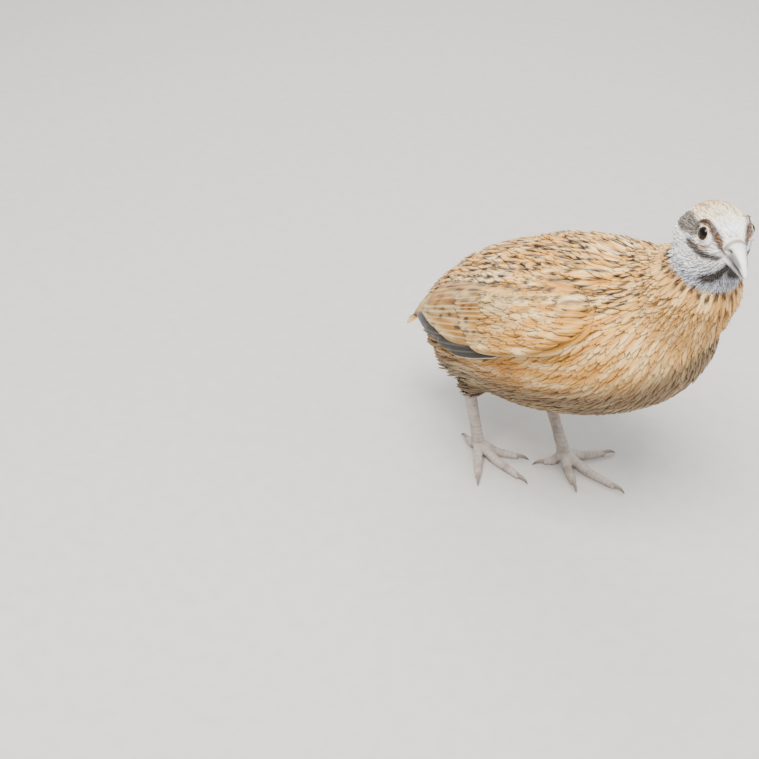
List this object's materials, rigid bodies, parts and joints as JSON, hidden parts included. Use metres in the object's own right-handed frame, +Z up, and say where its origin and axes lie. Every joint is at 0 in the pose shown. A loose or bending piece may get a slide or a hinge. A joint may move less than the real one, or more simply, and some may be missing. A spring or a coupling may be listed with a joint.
{
  "type": "coturnix quail",
  "caption": "Life-size still model of a standing coturnix quail in walking stance, with folded wings, head turned aside, bill, eyes and clawed feet.",
  "frame": {"origin": "centre of the bounding box at floor level, under the bird", "axes": "+X forward along the body, +Y to the bird's left, +Z up"},
  "size_m": [0.143, 0.0736, 0.1341],
  "materials": {
    "plumage": "soft golden feathers, matte",
    "bill": "pale horn, semi-matte",
    "eye": "wet dark brown",
    "leg_skin": "scaly pale skin, matte",
    "claw": "horn, satin"
  },
  "bodies": {
    "root": {"torso": "plumage", "tail": "plumage", "neck": "plumage", "head": "plumage", "bill_upper": "bill", "bill_lower": "bill", "wing_left": "plumage", "eye_left": "eye", "thigh_left": "plumage", "shank_left": "leg_skin", "toe_left_inner": "leg_skin", "claw_left_inner": "claw", "toe_left_middle": "leg_skin", "claw_left_middle": "claw", "toe_left_outer": "leg_skin", "claw_left_outer": "claw", "toe_left_hind": "leg_skin", "claw_left_hind": "claw", "wing_right": "plumage", "eye_right": "eye", "thigh_right": "plumage", "shank_right": "leg_skin", "toe_right_inner": "leg_skin", "claw_right_inner": "claw", "toe_right_middle": "leg_skin", "claw_right_middle": "claw", "toe_right_outer": "leg_skin", "claw_right_outer": "claw", "toe_right_hind": "leg_skin", "claw_right_hind": "claw"}
  },
  "joints": []
}
